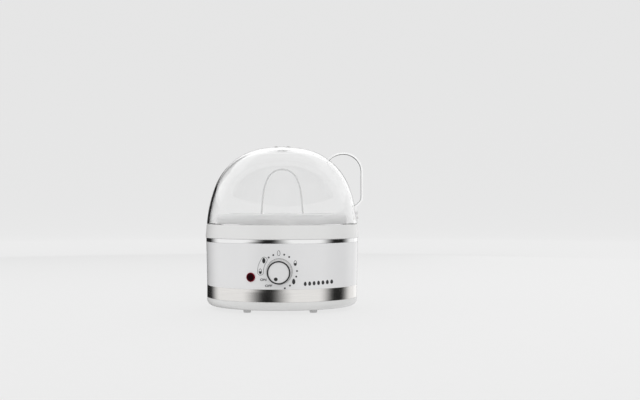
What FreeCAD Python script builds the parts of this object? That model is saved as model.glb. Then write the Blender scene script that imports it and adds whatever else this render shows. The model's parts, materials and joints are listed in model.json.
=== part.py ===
import FreeCAD, Part
import math
import os
import Sketcher

# Electric egg cooker. Origin: the centre of the bottom cover's flat underside, on the vertical
# axis of the housing; the rubber feet reach foot_height lower, to the table. +Z up, the control
# dial faces -Y, and the lid's ear-shaped handle stands out on the +X side. Heights count from
# the origin, and all sizes are in millimetres.

DIMENSIONS = [
    # rubber feet and bottom cover
    ("foot_height", 3.7),
    ("foot_radius", 4.3),
    ("foot_tread_radius", 3.1),
    ("foot_stem_radius", 2.4),
    ("foot_place_x", 35.0),
    ("foot_place_y", 57.0),
    ("cover_radius", 83.2),
    ("cover_floor", 2.0),
    ("cover_round", 7.0),
    ("cover_top", 9.2),
    ("tongue_top", 10.3),
    ("tongue_outer", 80.2),
    ("tongue_inner", 78.4),
    ("vent_ring_radius", 26.0),
    ("vent_hole_radius", 1.5),
    ("post_wall", 0.5),
    # housing shell and its two metal trims
    ("shell_inner", 80.4),
    ("band_inner", 82.4),
    ("band_outer", 83.0),
    ("band_top", 22.7),
    ("panel_low_radius", 83.0),
    ("panel_top_radius", 84.0),
    ("panel_top", 69.9),
    ("trim_inner", 83.4),
    ("trim_outer", 84.0),
    ("shell_top", 74.3),
    ("hole_gap", 0.1),
    ("rib_length", 7.0),
    ("rib_width", 3.0),
    ("rib_gap", 2.0),
    # collar that carries the heating plate and the lid
    ("collar_low_radius", 84.8),
    ("collar_top_radius", 83.6),
    ("collar_top", 89.1),
    ("collar_mouth", 76.0),
    ("collar_mouth_taper", 0.8),
    ("collar_edge", 0.7),
    ("collar_post_radius", 3.5),
    ("ledge_height", 84.3),
    ("ledge_thick", 2.5),
    ("ledge_inner", 68.5),
    ("skirt_bottom", 66.3),
    ("skirt_inner", 78.2),
    # heating plate, its seal, element and fixing
    ("plate_floor_radius", 60.0),
    ("plate_floor_top", 78.8),
    ("plate_thick", 1.5),
    ("plate_wall_radius", 66.5),
    ("plate_flange_radius", 74.0),
    ("plate_flange_top", 86.3),
    ("seal_thick", 0.8),
    ("element_ring_radius", 42.0),
    ("element_tube_radius", 3.3),
    ("element_gap_angle", 30.0),
    ("element_leg", 10.0),
    ("element_pin_radius", 1.2),
    ("element_pin_length", 9.0),
    ("bracket_top", 67.8),
    ("bracket_thick", 1.5),
    ("bracket_half_length", 77.0),
    ("bracket_half_width", 6.0),
    ("bracket_screw_place", 73.5),
    ("stud_radius", 2.5),
    ("stud_shoulder", 5.0),
    ("cutout_radius", 8.0),
    ("cutout_place", 22.0),
    ("cutout_bottom", 68.3),
    ("cutout_blade_place", 4.0),
    ("blade_thick", 0.8),
    ("blade_width", 6.3),
    ("blade_length", 9.0),
    ("blade_bare", 8.0),
    # screws
    ("screw_pilot", 1.4),
    ("screw_clear", 1.75),
    ("screw_head_radius", 2.9),
    ("screw_head_height", 2.0),
    ("screw_slot_length", 3.4),
    ("screw_slot_width", 0.8),
    ("screw_slot_depth", 1.0),
    ("screw_seat", 3.0),
    ("screw_circle", 71.0),
    ("screw_angle", 20.0),
    ("boss_radius", 4.0),
    ("boss_top", 28.3),
    ("boss_solid", 4.0),
    # rotary control and dial, measured from the housing axis towards the user
    ("dial_height", 41.3),
    ("control_side", 34.0),
    ("control_back", 61.0),
    ("control_front", 77.0),
    ("control_pad_radius", 9.0),
    ("control_pad_length", 5.0),
    ("control_blade_place", 10.0),
    ("bushing_radius", 4.0),
    ("bushing_end", 87.5),
    ("nut_back", 83.75),
    ("nut_front", 86.25),
    ("nut_radius", 6.9),
    ("shaft_radius", 3.0),
    ("shaft_back", 66.0),
    ("shaft_end", 98.5),
    ("running_clearance", 0.05),
    ("bezel_radius", 13.3),
    ("bezel_inner", 8.5),
    ("bezel_front", 85.2),
    ("knob_radius", 12.0),
    ("knob_back", 86.0),
    ("knob_cavity_radius", 10.2),
    ("knob_cavity_front", 97.5),
    ("knob_hub_radius", 5.5),
    ("knob_hub_back", 88.0),
    ("knob_ring_back", 100.2),
    ("knob_ring_inner", 10.5),
    ("knob_face", 102.2),
    ("knob_front", 103.0),
    ("pointer_radius", 1.5),
    ("pointer_place", 7.3),
    ("pointer_angle", -157.0),
    ("pointer_crown", 0.25),
    # indicator lamp
    ("lamp_height", 35.1),
    ("lamp_angle", -21.0),
    ("lens_flange_radius", 4.8),
    ("lens_radius", 4.1),
    ("lens_front", 84.7),
    ("lens_crown", 0.7),
    ("lens_back", 76.0),
    ("neon_radius", 2.4),
    # mains entry
    ("entry_height", 15.95),
    ("entry_neck", 4.6),
    ("entry_bore", 3.2),
    ("entry_flange", 6.2),
    ("clamp_place", 63.0),
    ("clamp_screw_place", 9.5),
    ("clamp_bottom", 12.8),
    ("clamp_top", 21.5),
    ("clamp_length", 26.0),
    ("clamp_width", 8.0),
    ("clamp_post_radius", 3.2),
    ("clamp_hole_depth", 8.0),
    ("block_place", 40.0),
    ("buzzer_radius", 11.0),
    ("buzzer_place_x", 40.0),
    ("buzzer_place_y", -20.0),
    ("wire_radius", 1.0),
    # egg rack
    ("rack_radius", 72.5),
    ("rack_top", 100.3),
    ("rack_thick", 2.0),
    ("rack_round", 6.0),
    ("rack_bottom", 86.6),
    ("egg_hole_radius", 16.0),
    ("egg_ring_radius", 46.0),
    ("egg_cup_bottom", 94.3),
    ("egg_bead", 0.8),
    ("egg_cup_wall", 1.6),
    ("steam_hole_radius", 2.5),
    ("steam_ring_radius", 60.0),
    ("arch_foot", 24.06),
    ("arch_foot_height", 97.5),
    ("arch_leg_x", 22.07),
    ("arch_leg_z", 120.3),
    ("arch_leg_angle", 85.0),
    ("arch_side_radius", 60.0),
    ("arch_crown_x", 17.11),
    ("arch_crown_z", 139.47),
    ("arch_crown_angle", 66.0),
    ("arch_crown_radius", 18.73),
    ("arch_thick", 1.6),
    ("arch_width", 9.0),
    # lid
    ("lid_wall", 2.4),
    ("lid_rim_radius", 83.4),
    ("lid_rim_height", 89.4),
    ("lid_side_radius", 151.4),
    ("lid_shoulder_x", 74.7),
    ("lid_shoulder_z", 129.4),
    ("lid_shoulder_radius", 67.4),
    ("lid_shoulder_angle", 70.0),
    ("lid_crown_x", 18.0),
    ("lid_crown_z", 173.4),
    ("lid_crown_radius", 183.4),
    ("lid_crown_angle", 5.6),
    ("lid_top", 174.3),
    ("vent_radius", 6.5),
    ("vent_rim_radius", 9.0),
    ("vent_rim_proud", 0.6),
    ("ear_reach", 89.4),
    ("ear_top", 168.3),
    ("ear_corner", 21.4),
    ("ear_root_radius", 24.0),
    ("ear_root_angle", 50.0),
    ("ear_straight_bottom", 118.8),
    ("ear_lower_radius", 9.0),
    ("ear_lower_angle", 50.0),
    ("ear_thick", 1.8),
    ("ear_width", 16.0),
    ("ear_pad_top", 108.3),
    ("ear_pad_bottom", 92.8),
    ("ear_pad_top_x", 82.9),
    ("ear_pad_root_x", 79.9),
    ("ear_pad_proud", 1.2),
    ("ear_pad_bite", 1.4),
    ("ear_pin_upper", 101.3),
    ("ear_pin_lower", 95.8),
    ("ear_pin_radius", 1.6),
    ("ear_pin_length", 3.3),
]

doc = FreeCAD.newDocument("egg_cooker")
sheet = doc.addObject("Spreadsheet::Sheet", "Dims")
for row, (alias, value) in enumerate(DIMENSIONS, start=1):
    sheet.set("A%d" % row, alias)
    sheet.set("B%d" % row, str(value))
    sheet.setAlias("B%d" % row, alias)
doc.recompute()

ALIASES = [alias for alias, _ in DIMENSIONS]
SUBPARTS = []
X_AXIS = FreeCAD.Vector(1, 0, 0)
Z_AXIS = FreeCAD.Vector(0, 0, 1)


def formula(words):
    """Turn 'band_top - 2 * cover_floor' into an expression that reads the sheet."""
    out = []
    word = ""
    for char in words + " ":
        if char.isalnum() or char in "_.":
            word += char
            continue
        out.append("Dims." + word if word in ALIASES else word)
        out.append(char)
        word = ""
    return "".join(out).strip()


def size(words):
    """The number that a formula stands for now."""
    return float(sheet.evalExpression(formula(str(words))))


def bind(thing, **sizes):
    """Bind properties of an object to formulas; an underscore stands for the dot in a path."""
    for path, words in sizes.items():
        thing.setExpression(path.replace("_", "."), formula(str(words)))
    return thing


def keep(thing, label):
    """Make an object a sub-part: its label names its node and its file."""
    thing.Label = label
    SUBPARTS.append(thing)
    return thing


# ---------------------------------------------------------------- Part primitives and booleans

def place(thing, x="0", y="0", z="0"):
    return bind(thing, Placement_Base_x=x, Placement_Base_y=y, Placement_Base_z=z)


def cylinder(name, radius, height, x="0", y="0", z="0"):
    thing = doc.addObject("Part::Cylinder", name)
    bind(thing, Radius=radius, Height=height)
    return place(thing, x, y, z)


def box(name, length, width, height, x="0", y="0", z="0"):
    """A box centred on x and y that stands on z."""
    thing = doc.addObject("Part::Box", name)
    bind(thing, Length=length, Width=width, Height=height)
    return place(thing, "%s - (%s) / 2" % (x, length), "%s - (%s) / 2" % (y, width), z)


def cone(name, low_radius, top_radius, height, z="0"):
    thing = doc.addObject("Part::Cone", name)
    bind(thing, Radius1=low_radius, Radius2=top_radius, Height=height)
    return place(thing, z=z)


def hexagon(name, radius, height, x="0", y="0", z="0"):
    thing = doc.addObject("Part::Prism", name)
    thing.Polygon = 6
    bind(thing, Circumradius=radius, Height=height)
    return place(thing, x, y, z)


def fuse(name, *shapes):
    thing = doc.addObject("Part::MultiFuse", name)
    thing.Shapes = list(shapes)
    thing.Refine = True
    return thing


def cut(name, base, tool):
    thing = doc.addObject("Part::Cut", name)
    thing.Base = base
    thing.Tool = tool
    return thing


def tube(name, outer, inner, height, z="0"):
    return cut(
        name,
        cylinder(name + "Outer", outer, height, z=z),
        cylinder(name + "Inner", inner, height, z=z),
    )


def group(name, shapes):
    """Separate solids that share one node."""
    thing = doc.addObject("Part::Compound", name)
    thing.Links = list(shapes)
    return thing


def facing(thing, height, angle="0"):
    """Turn a piece made along +Z so that +Z points out of the housing at an angle from -Y."""
    turn = FreeCAD.Rotation(Z_AXIS, size(angle)) * FreeCAD.Rotation(X_AXIS, 90)
    thing.Placement = FreeCAD.Placement(FreeCAD.Vector(0, 0, size(height)), turn)
    return thing


def clear(thing):
    """Free a primitive's place from its formulas, so that it can be turned."""
    for axis in "xyz":
        thing.setExpression("Placement.Base." + axis, None)
    return thing


def radial_cylinder(name, radius, length, start, height, angle="0"):
    """A cylinder that runs outwards from a distance to the housing's axis."""
    thing = clear(cylinder(name, radius, length))
    facing(thing, height, angle)
    out = thing.Placement.Rotation.multVec(Z_AXIS)
    thing.Placement.Base = thing.Placement.Base + out * size(start)
    return thing


def radial_box(name, width, tall, deep, start, height, angle="0", aside="0", above="0"):
    """A box centred on a line that runs outwards from the housing's axis."""
    thing = clear(box(name, width, tall, deep))
    facing(thing, height, angle)
    local = FreeCAD.Vector(size(aside) - size(width) / 2, size(above) - size(tall) / 2, size(start))
    thing.Placement.Base = thing.Placement.Base + thing.Placement.Rotation.multVec(local)
    return thing


def face_out(thing, start, height, angle="0"):
    """Turn a piece outwards and move it out to a distance from the housing's axis."""
    facing(thing, height, angle)
    out = thing.Placement.Rotation.multVec(Z_AXIS)
    thing.Placement.Base = thing.Placement.Base + out * size(start)
    return thing


def polar(radius, angle):
    """Formulas for x and y of a point on a circle; the angle runs from +X."""
    return "(%s) * cos(%s)" % (radius, angle), "(%s) * sin(%s)" % (radius, angle)


# ---------------------------------------------------------------- sketched bodies

def arc(x, y, radius, turn):
    """A corner reached by an arc that turns left or right."""
    return x, y, radius, turn


def dome_radius(edge, crown):
    """The radius of a shallow dome that has its centre on the axis."""
    return "((%s) ^ 2 + (%s) ^ 2) / (2 * %s)" % (edge, crown, crown)


def arc_geometry(start, end, radius, turn):
    chord = end - start
    middle = (start + end) * 0.5
    across = FreeCAD.Vector(-chord.y, chord.x, 0).normalize()
    rise = math.sqrt(max(radius ** 2 - (chord.Length / 2) ** 2, 0))
    centre = middle + across * (rise if turn == "left" else -rise)
    first, last = (start, end) if turn == "left" else (end, start)
    angles = [math.atan2(point.y - centre.y, point.x - centre.x) for point in (first, last)]
    if angles[1] < angles[0]:
        angles[1] += 2 * math.pi
    return Part.ArcOfCircle(Part.Circle(centre, Z_AXIS, radius), *angles)


def origin_plane(body, role):
    return [feature for feature in body.Origin.OriginFeatures if feature.Role == role][0]


def new_sketch(body, name, role, lift="0"):
    sketch = body.newObject("Sketcher::SketchObject", name)
    sketch.AttachmentSupport = (origin_plane(body, role), [""])
    sketch.MapMode = "FlatFace"
    sketch.setExpression("AttachmentOffset.Base.z", formula(lift))
    return sketch


def fix_point(sketch, geometry, end, corner):
    for kind, words in (("DistanceX", corner[0]), ("DistanceY", corner[1])):
        value = size(words)
        index = sketch.addConstraint(Sketcher.Constraint(kind, -1, 1, geometry, end, value))
        sketch.setExpression("Constraints[%d]" % index, formula(words))


def draw_outline(sketch, corners):
    """A closed outline through corners; a corner made by arc() is reached by an arc."""
    points = [FreeCAD.Vector(size(corner[0]), size(corner[1]), 0) for corner in corners]
    starts = []
    ends = []
    for index, corner in enumerate(corners):
        before = points[index - 1]
        here = points[index]
        if len(corner) == 2:
            number = sketch.addGeometry(Part.LineSegment(before, here))
            starts.append((number, 1))
            ends.append((number, 2))
            continue
        radius, turn = corner[2], corner[3]
        number = sketch.addGeometry(arc_geometry(before, here, size(radius), turn))
        starts.append((number, 1) if turn == "left" else (number, 2))
        ends.append((number, 2) if turn == "left" else (number, 1))
        index_radius = sketch.addConstraint(Sketcher.Constraint("Radius", number, size(radius)))
        sketch.setExpression("Constraints[%d]" % index_radius, formula(radius))
    for index, corner in enumerate(corners):
        following = starts[(index + 1) % len(corners)]
        sketch.addConstraint(Sketcher.Constraint("Coincident", *ends[index], *following))
        fix_point(sketch, *ends[index], corner)


def draw_circles(sketch, circles):
    for x, y, radius in circles:
        centre = FreeCAD.Vector(size(x), size(y), 0)
        number = sketch.addGeometry(Part.Circle(centre, Z_AXIS, size(radius)))
        fix_point(sketch, number, 3, (x, y))
        index = sketch.addConstraint(Sketcher.Constraint("Radius", number, size(radius)))
        sketch.setExpression("Constraints[%d]" % index, formula(radius))


def revolved(name, corners):
    """A body turned about Z from an outline of (radius, height) corners."""
    body = doc.addObject("PartDesign::Body", name)
    sketch = new_sketch(body, name + "Outline", "XZ_Plane")
    draw_outline(sketch, corners)
    turned = body.newObject("PartDesign::Revolution", name + "Turn")
    turned.Profile = sketch
    turned.ReferenceAxis = (sketch, ["V_Axis"])
    turned.Angle = 360
    doc.recompute()
    return body


def extruded(name, corners, width):
    """A body whose outline lies in the XZ plane, as wide on both sides of it."""
    body = doc.addObject("PartDesign::Body", name)
    sketch = new_sketch(body, name + "Outline", "XZ_Plane")
    draw_outline(sketch, corners)
    pad = body.newObject("PartDesign::Pad", name + "Pad")
    pad.Profile = sketch
    pad.Midplane = True
    bind(pad, Length=width)
    doc.recompute()
    return body


def add_posts(body, name, circles, low, top):
    """Round posts on a body, between two heights."""
    sketch = new_sketch(body, name + "Outline", "XY_Plane", low)
    draw_circles(sketch, circles)
    pad = body.newObject("PartDesign::Pad", name)
    pad.Profile = sketch
    bind(pad, Length="(%s) - (%s)" % (top, low))
    doc.recompute()


def drill(body, name, circles, low, top):
    """Round holes in a body, between two heights."""
    before = body.Shape.Volume
    sketch = new_sketch(body, name + "Outline", "XY_Plane", top)
    draw_circles(sketch, circles)
    pocket = body.newObject("PartDesign::Pocket", name)
    pocket.Profile = sketch
    bind(pocket, Length="(%s) - (%s)" % (top, low))
    doc.recompute()
    if not body.Shape.Volume < before:
        raise RuntimeError(name + " removes nothing")


def machine_screw(name, head_radius, head_height, shank_radius, shank_length, up=True):
    """A screw along Z with its head's seat at z = 0; up means that the shank points up."""
    shank_sign = "" if up else "-"
    head_sign = "-" if up else ""
    blank = revolved(name + "Blank", [
        ("0", head_sign + head_height),
        (head_radius, head_sign + head_height),
        (head_radius, "0"),
        (shank_radius, "0"),
        (shank_radius, "%s(%s)" % (shank_sign, shank_length)),
        ("0", "%s(%s)" % (shank_sign, shank_length)),
    ])
    slot_floor = "-" + head_height if up else head_height + " - screw_slot_depth"
    slots = [
        box(name + "SlotA", "screw_slot_length", "screw_slot_width", "screw_slot_depth", z=slot_floor),
        box(name + "SlotB", "screw_slot_width", "screw_slot_length", "screw_slot_depth", z=slot_floor),
    ]
    return cut(name, blank, fuse(name + "Slots", *slots))


def copies(name, source, places):
    """Copies of a shape at several (x, y, z) places, as separate solids of one node."""
    doc.recompute()
    links = []
    for number, (x, y, z) in enumerate(places, start=1):
        copy = doc.addObject("Part::Feature", "%sCopy%d" % (name, number))
        copy.Shape = source.Shape
        copy.Placement = FreeCAD.Placement(FreeCAD.Vector(size(x), size(y), size(z)), FreeCAD.Rotation())
        links.append(copy)
    return group(name, links)


# Angles from +X of the four screws that hold the bottom cover.
COVER_SCREW_ANGLES = ["screw_angle", "180 - screw_angle", "180 + screw_angle", "360 - screw_angle"]
# Angles from +X of the six outer eggs; the seventh stands in the middle.
EGG_ANGLES = ["%d" % (30 + 60 * step) for step in range(6)]


# ---------------------------------------------------------------- base

def make_feet():
    corners = [
        ("0", "-foot_height"),
        ("foot_tread_radius", "-foot_height"),
        arc("foot_tread_radius + 0.8", "0.8 - foot_height", "0.8", "left"),
        ("foot_radius", "0"),
        ("foot_stem_radius", "0"),
        ("foot_stem_radius", "cover_floor"),
        ("foot_stem_radius + 0.6", "cover_floor"),
        ("foot_stem_radius - 0.6", "cover_floor + 2.5"),
        ("0", "cover_floor + 2.5"),
    ]
    for depth, side_y in (("front", "-"), ("rear", "")):
        for hand, side_x in (("left", "-"), ("right", "")):
            foot = revolved("Foot%s%s" % (depth.title(), hand.title()), corners)
            place(foot, side_x + "foot_place_x", side_y + "foot_place_y")
            keep(foot, "foot_%s_%s" % (depth, hand))


def make_bottom_cover():
    floor = "cover_floor"
    corner_inner = "cover_round - cover_floor"
    body = revolved("BottomCover", [
        ("0", floor),
        ("0", "0"),
        ("cover_radius - cover_round", "0"),
        arc("cover_radius", "cover_round", "cover_round", "left"),
        ("cover_radius", "cover_top"),
        ("tongue_outer", "cover_top"),
        ("tongue_outer", "tongue_top"),
        ("tongue_inner", "tongue_top"),
        ("tongue_inner", "cover_round"),
        arc("tongue_inner - (%s)" % corner_inner, floor, corner_inner, "right"),
    ])
    screw_places = [polar("screw_circle", angle) for angle in COVER_SCREW_ANGLES]
    clamp_places = [("clamp_screw_place", "clamp_place"), ("-clamp_screw_place", "clamp_place")]
    foot_places = [(a + "foot_place_x", b + "foot_place_y") for a in ("", "-") for b in ("", "-")]
    cover_posts = [(x, y, "boss_radius + post_wall") for x, y in screw_places]
    clamp_posts = [(x, y, "clamp_post_radius") for x, y in clamp_places]
    screw_wells = [(x, y, "screw_head_radius + 0.7") for x, y in screw_places]
    screw_holes = [(x, y, "screw_clear") for x, y in screw_places]
    clamp_holes = [(x, y, "screw_pilot") for x, y in clamp_places]
    foot_holes = [(x, y, "foot_stem_radius") for x, y in foot_places]
    vents = [(*polar("vent_ring_radius", "%d" % (30 * step)), "vent_hole_radius") for step in range(12)]
    add_posts(body, "CoverPosts", cover_posts, floor, "cover_top")
    add_posts(body, "ClampPosts", clamp_posts, floor, "clamp_bottom")
    drill(body, "ScrewWells", screw_wells, "0", "screw_seat")
    drill(body, "ScrewHoles", screw_holes, "0", "cover_top")
    drill(body, "FootHoles", foot_holes, "0", floor)
    drill(body, "ClampHoles", clamp_holes, "clamp_bottom - clamp_hole_depth", "clamp_bottom")
    drill(body, "VentHoles", vents, "0", floor)
    return keep(body, "bottom_cover")


# ---------------------------------------------------------------- housing

def panel_cone(name):
    """A solid as wide as the shell's tapered outer face, used to fit pieces to that face."""
    return cone(name, "panel_low_radius", "panel_top_radius", "panel_top - band_top", "band_top")


def make_body_shell():
    body = revolved("ShellTurned", [
        ("shell_inner", "cover_top"),
        ("band_inner", "cover_top"),
        ("band_inner", "band_top"),
        ("panel_low_radius", "band_top"),
        ("panel_top_radius", "panel_top"),
        ("trim_inner", "panel_top"),
        ("trim_inner", "shell_top"),
        ("shell_inner", "shell_top"),
    ])
    pieces = [body]
    bores = []
    boss = "boss_top - cover_top"
    rib_bottom = "tongue_top + rib_gap"
    for number, angle in enumerate(COVER_SCREW_ANGLES):
        x, y = polar("screw_circle", angle)
        pieces.append(cylinder("ShellBoss%d" % number, "boss_radius", boss, x, y, "cover_top"))
        bores.append(
            cylinder("ShellPilot%d" % number, "screw_pilot", boss + " - boss_solid", x, y, "cover_top"))
        rib = doc.addObject("Part::Box", "ShellRib%d" % number)
        bind(rib, Length="rib_length", Width="rib_width", Height="boss_top - (%s)" % rib_bottom)
        turn = FreeCAD.Rotation(Z_AXIS, size(angle))
        corner = turn.multVec(FreeCAD.Vector(size("screw_circle + rib_width"), size("-rib_width / 2"), 0))
        corner.z = size(rib_bottom)
        rib.Placement = FreeCAD.Placement(corner, turn)
        pieces.append(rib)
    pieces.append(radial_cylinder(
        "ControlPad", "control_pad_radius", "control_pad_length", "control_front", "dial_height"))
    holes = [
        radial_cylinder("ShaftHole", "bushing_radius + hole_gap", "20", "control_front - 2", "dial_height"),
        radial_cylinder("LampHole", "lens_radius + hole_gap", "20", "lens_back", "lamp_height", "lamp_angle"),
        radial_cylinder("EntryHole", "entry_neck + hole_gap", "20", "lens_back", "entry_height", "180"),
    ]
    shell = cut("BodyShell", fuse("ShellWithBosses", *pieces), fuse("ShellHoles", *(bores + holes)))
    return keep(shell, "body_shell")


def make_trims():
    band = tube("BandTube", "band_outer", "band_inner", "band_top - cover_top", "cover_top")
    hole = radial_cylinder("BandHole", "entry_neck + hole_gap", "20", "lens_back", "entry_height", "180")
    keep(cut("SteelBand", band, hole), "steel_band")
    ring = tube("TrimRing", "trim_outer", "trim_inner", "shell_top - panel_top", "panel_top")
    keep(ring, "upper_trim_ring")


def make_collar():
    ledge_under = "ledge_height - ledge_thick"
    body = revolved("CollarTurned", [
        ("collar_mouth", "collar_top"),
        ("collar_mouth - collar_mouth_taper", "ledge_height"),
        ("ledge_inner", "ledge_height"),
        ("ledge_inner", ledge_under),
        ("skirt_inner", ledge_under),
        ("skirt_inner", "skirt_bottom"),
        ("tongue_outer", "skirt_bottom"),
        ("tongue_outer", "shell_top"),
        ("collar_low_radius - collar_edge", "shell_top"),
        arc("collar_low_radius", "shell_top + collar_edge", "collar_edge", "left"),
        ("collar_top_radius", "collar_top - collar_edge"),
        arc("collar_top_radius - collar_edge", "collar_top", "collar_edge", "left"),
    ])
    places = [(side + "bracket_screw_place", "0") for side in ("", "-")]
    posts = [(x, y, "collar_post_radius") for x, y in places]
    pilots = [(x, y, "screw_pilot") for x, y in places]
    add_posts(body, "BracketPosts", posts, "bracket_top", ledge_under)
    drill(body, "BracketPilots", pilots, "bracket_top", "bracket_top + 10")
    return keep(body, "collar")


# ---------------------------------------------------------------- heating plate and what holds it

def make_heating_plate():
    under = "plate_floor_top - plate_thick"
    flange_under = "plate_flange_top - 1.2"
    body = revolved("HeatingPlate", [
        ("0", "plate_floor_top"),
        ("0", under),
        ("plate_floor_radius + 1", under),
        ("plate_wall_radius + plate_thick - 0.4", flange_under),
        ("plate_flange_radius", flange_under),
        ("plate_flange_radius", "plate_flange_top"),
        ("plate_wall_radius", "plate_flange_top"),
        ("plate_floor_radius", "plate_floor_top"),
    ])
    keep(body, "heating_plate")
    seal = tube("SealTube", "plate_flange_radius - 0.5", "ledge_inner + 1", "seal_thick", "ledge_height")
    keep(seal, "plate_seal")


def make_heating_element():
    centre = "plate_floor_top - plate_thick - element_tube_radius"
    half_gap = size("element_gap_angle") / 2
    ring = doc.addObject("Part::Torus", "ElementRing")
    bind(ring, Radius1="element_ring_radius", Radius2="element_tube_radius", Angle3="360 - element_gap_angle")
    ring.Placement = FreeCAD.Placement(
        FreeCAD.Vector(0, 0, size(centre)), FreeCAD.Rotation(Z_AXIS, 90 + half_gap))
    pieces = [ring]
    for name, side in (("A", "-"), ("B", "+")):
        x, y = polar("element_ring_radius", "90 %s element_gap_angle / 2" % side)
        bend = doc.addObject("Part::Sphere", "ElementBend" + name)
        place(bind(bend, Radius="element_tube_radius"), x, y, centre)
        low = "%s - element_leg" % centre
        pieces += [
            bend,
            cylinder("ElementLeg" + name, "element_tube_radius", "element_leg", x, y, low),
            cylinder("ElementPin" + name, "element_pin_radius", "element_pin_length", x, y,
                     low + " - element_pin_length + 1"),
        ]
    keep(fuse("HeatingElement", *pieces), "heating_element")


def make_plate_fixing():
    low = "bracket_top - bracket_thick"
    bar = box("BracketBar", "2 * bracket_half_length", "2 * bracket_half_width", "bracket_thick", z=low)
    holes = [cylinder("BracketHoleMid", "stud_radius + 0.1", "5", z="skirt_bottom - 1")]
    for name, side in (("A", ""), ("B", "-")):
        holes.append(cylinder("BracketHole" + name, "screw_clear", "5", side + "bracket_screw_place", "0",
                              "skirt_bottom - 1"))
    keep(cut("PlateBracket", bar, fuse("BracketHoles", *holes)), "plate_bracket")
    stud = revolved("PlateStud", [
        ("0", "%s - 6" % low),
        ("stud_radius", "%s - 6" % low),
        ("stud_radius", "bracket_top"),
        ("stud_shoulder", "bracket_top"),
        ("stud_shoulder", "plate_floor_top - plate_thick"),
        ("0", "plate_floor_top - plate_thick"),
    ])
    keep(stud, "plate_stud")
    nut = cut("StudNutCut", hexagon("StudNutHex", "stud_radius + 2.2", "3.5", z="%s - 4.3" % low),
              cylinder("StudNutBore", "stud_radius", "3.5", z="%s - 4.3" % low))
    keep(nut, "stud_nut")
    earth = fuse(
        "EarthTabBlank",
        cylinder("EarthRing", "stud_radius + 2.5", "0.8", z="%s - 0.8" % low),
        box("EarthBlade", "14", "6.3", "0.8", "9", "0", "%s - 0.8" % low),
    )
    keep(cut("EarthTab", earth, cylinder("EarthHole", "stud_radius", "0.8", z="%s - 0.8" % low)), "earth_tab")
    screw = machine_screw("BracketScrew", "screw_head_radius", "screw_head_height", "screw_pilot", "9")
    places = [(side + "bracket_screw_place", "0", low) for side in ("", "-")]
    keep(copies("BracketScrews", screw, places), "bracket_screws")


def make_thermal_cutout():
    body = cylinder("CutoutBody", "cutout_radius", "plate_floor_top - plate_thick - cutout_bottom",
                    "0", "-cutout_place", "cutout_bottom")
    blades = [
        box("CutoutBlade" + name, "blade_thick", "blade_width", "blade_length", side + "cutout_blade_place",
            "-cutout_place", "cutout_bottom - blade_bare")
        for name, side in (("A", ""), ("B", "-"))
    ]
    keep(fuse("ThermalCutout", body, *blades), "thermal_cutout")


# ---------------------------------------------------------------- rotary control and dial

def make_control():
    case = radial_box("ControlCase", "control_side", "control_side", "control_front - control_back",
                      "control_back", "dial_height")
    bushing = radial_cylinder("ControlBushing", "bushing_radius", "bushing_end - control_front + 1",
                              "control_front - 1", "dial_height")
    blades = [
        radial_box("ControlBlade%d" % number, "blade_thick", "blade_width", "blade_length",
                   "control_back - blade_bare", "dial_height", aside=aside)
        for number, aside in enumerate(("-control_blade_place", "0", "control_blade_place"))
    ]
    bore = radial_cylinder("ControlBore", "shaft_radius + running_clearance", "40", "shaft_back - 0.5",
                           "dial_height")
    keep(cut("ControlBody", fuse("ControlBlank", case, bushing, *blades), bore), "control_body")
    nut = cut("ControlNutCut", hexagon("ControlNutHex", "nut_radius", "nut_front - nut_back"),
              cylinder("ControlNutBore", "bushing_radius", "nut_front - nut_back"))
    face_out(nut, "nut_back", "dial_height")
    keep(nut, "control_nut")
    blank = tube("BezelTube", "bezel_radius", "bezel_inner", "bezel_front - 80", "80")
    facing(blank, "dial_height")
    keep(cut("DialBezel", blank, panel_cone("BezelSeat")), "dial_bezel")


def make_dial():
    shaft = radial_cylinder(
        "ControlShaft", "shaft_radius", "shaft_end - shaft_back", "shaft_back", "dial_height")
    keep(shaft, "control_shaft")
    knob = revolved("KnobTurned", [
        ("shaft_radius", "knob_hub_back"),
        ("knob_hub_radius", "knob_hub_back"),
        ("knob_hub_radius", "knob_cavity_front"),
        ("knob_cavity_radius", "knob_cavity_front"),
        ("knob_cavity_radius", "knob_back"),
        ("knob_radius + 0.1", "knob_back"),
        ("knob_radius", "knob_ring_back"),
        ("knob_ring_inner", "knob_ring_back"),
        ("knob_ring_inner", "knob_face"),
        ("0", "knob_face"),
        ("0", "shaft_end"),
        ("shaft_radius", "shaft_end"),
    ])
    x = "pointer_place * sin(pointer_angle)"
    y = "pointer_place * cos(pointer_angle)"
    drill(knob, "PointerRecess", [(x, y, "pointer_radius")], "knob_face - 0.4", "knob_face")
    facing(knob, "dial_height")
    keep(knob, "knob_body")
    ring = revolved("KnobRing", [
        ("knob_ring_inner", "knob_ring_back"),
        ("knob_radius", "knob_ring_back"),
        ("knob_radius", "knob_front - 0.6"),
        arc("knob_radius - 0.6", "knob_front", "0.6", "left"),
        ("knob_ring_inner + 0.2", "knob_front"),
        ("knob_ring_inner", "knob_face"),
    ])
    keep(facing(ring, "dial_height"), "knob_ring")
    pointer = revolved("PointerTurned", [
        ("0", "knob_face - 0.4"),
        ("pointer_radius", "knob_face - 0.4"),
        ("pointer_radius", "knob_face"),
        arc("0", "knob_face + pointer_crown", dome_radius("pointer_radius", "pointer_crown"), "left"),
    ])
    facing(pointer, "dial_height")
    aside = FreeCAD.Vector(size(x), 0, size(y))
    pointer.Placement.Base = pointer.Placement.Base + aside
    keep(pointer, "knob_pointer")


# ---------------------------------------------------------------- indicator lamp

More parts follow.
